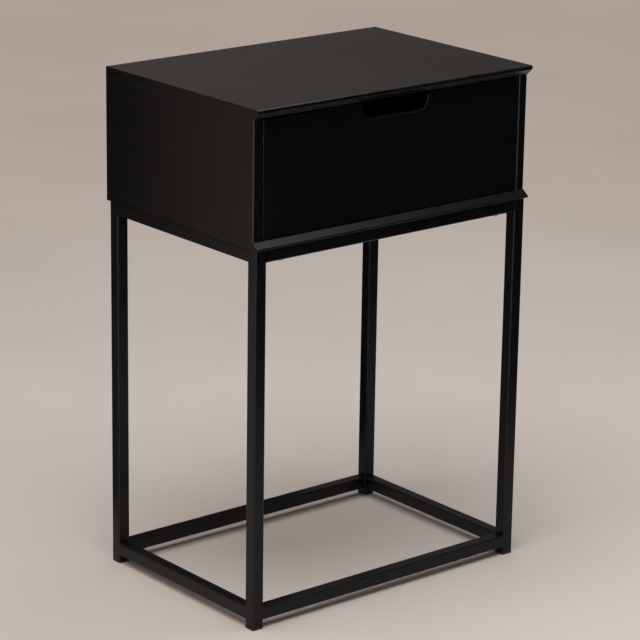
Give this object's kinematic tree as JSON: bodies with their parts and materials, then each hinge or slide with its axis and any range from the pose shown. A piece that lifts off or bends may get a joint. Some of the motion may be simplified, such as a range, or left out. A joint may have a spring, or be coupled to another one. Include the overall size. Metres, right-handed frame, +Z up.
{
  "type": "side table with drawer",
  "caption": "Square-tube steel frame carrying a low panelled case with one inset drawer on roller runners, opened by a finger notch in its front.",
  "frame": {"origin": "middle of the footprint on the floor, under the centre of the tabletop", "axes": "+Z up, +X to the right as seen from the front, +Y towards the back; the drawer opens along -Y"},
  "size_m": [0.4, 0.28, 0.6],
  "materials": {
    "lacquered_panel": "satin black lacquer on fibreboard",
    "drawer_box_board": "matt black foil on board",
    "back_board": "black-faced thin hardboard",
    "powder_coated_tube": "fine satin black powder coat",
    "runner_steel": "smooth black epoxy coat",
    "zinc_steel": "bright zinc plate",
    "foot_plastic": "moulded black polyethylene",
    "roller_nylon": "natural nylon",
    "beech_dowel": "bare fluted beech"
  },
  "bodies": {
    "table": {"top_panel": "lacquered_panel", "bottom_panel": "lacquered_panel", "left_side_panel": "lacquered_panel", "right_side_panel": "lacquered_panel", "back_panel": "back_board", "case_dowels": "beech_dowel", "back_panel_screws": "zinc_steel", "front_left_leg": "powder_coated_tube", "front_right_leg": "powder_coated_tube", "back_left_leg": "powder_coated_tube", "back_right_leg": "powder_coated_tube", "front_top_rail": "powder_coated_tube", "back_top_rail": "powder_coated_tube", "left_top_rail": "powder_coated_tube", "right_top_rail": "powder_coated_tube", "front_bottom_rail": "powder_coated_tube", "back_bottom_rail": "powder_coated_tube", "left_bottom_rail": "powder_coated_tube", "right_bottom_rail": "powder_coated_tube", "front_left_foot": "foot_plastic", "front_right_foot": "foot_plastic", "back_left_foot": "foot_plastic", "back_right_foot": "foot_plastic", "frame_screws": "zinc_steel", "left_case_runner": "runner_steel", "right_case_runner": "runner_steel", "case_runner_screws": "zinc_steel", "front_roller_pins": "zinc_steel"},
    "drawer": {"drawer_front": "lacquered_panel", "drawer_left_side": "drawer_box_board", "drawer_right_side": "drawer_box_board", "drawer_back": "drawer_box_board", "drawer_bottom": "back_board", "drawer_dowels": "beech_dowel", "drawer_back_screws": "zinc_steel", "drawer_bottom_screws": "zinc_steel", "left_drawer_runner": "runner_steel", "right_drawer_runner": "runner_steel", "drawer_runner_screws": "zinc_steel", "rear_roller_pins": "zinc_steel"},
    "left_front_wheel": {"left_front_roller": "roller_nylon"},
    "right_front_wheel": {"right_front_roller": "roller_nylon"},
    "left_rear_wheel": {"left_rear_roller": "roller_nylon"},
    "right_rear_wheel": {"right_rear_roller": "roller_nylon"}
  },
  "joints": [
    {"name": "drawer_slide", "type": "slide", "parent": "table", "child": "drawer", "axis": [0, -1, 0], "range_m": [0, 0.185]},
    {"name": "left_front_roll", "type": "hinge", "parent": "table", "child": "left_front_wheel", "pos_m": [-0.1825, -0.106, 0.4684], "axis": [1, 0, 0], "continuous": true},
    {"name": "right_front_roll", "type": "hinge", "parent": "table", "child": "right_front_wheel", "pos_m": [0.1825, -0.106, 0.4684], "axis": [1, 0, 0], "continuous": true},
    {"name": "left_rear_roll", "type": "hinge", "parent": "drawer", "child": "left_rear_wheel", "pos_m": [-0.182, 0.119, 0.4684], "axis": [1, 0, 0], "continuous": true},
    {"name": "right_rear_roll", "type": "hinge", "parent": "drawer", "child": "right_rear_wheel", "pos_m": [0.182, 0.119, 0.4684], "axis": [1, 0, 0], "continuous": true}
  ],
  "couplings": [
    {"joint": "left_front_roll", "follows": "drawer_slide", "rad_per_m": 142.86},
    {"joint": "right_front_roll", "follows": "drawer_slide", "rad_per_m": 142.86},
    {"joint": "left_rear_roll", "follows": "drawer_slide", "rad_per_m": 142.86},
    {"joint": "right_rear_roll", "follows": "drawer_slide", "rad_per_m": 142.86}
  ]
}
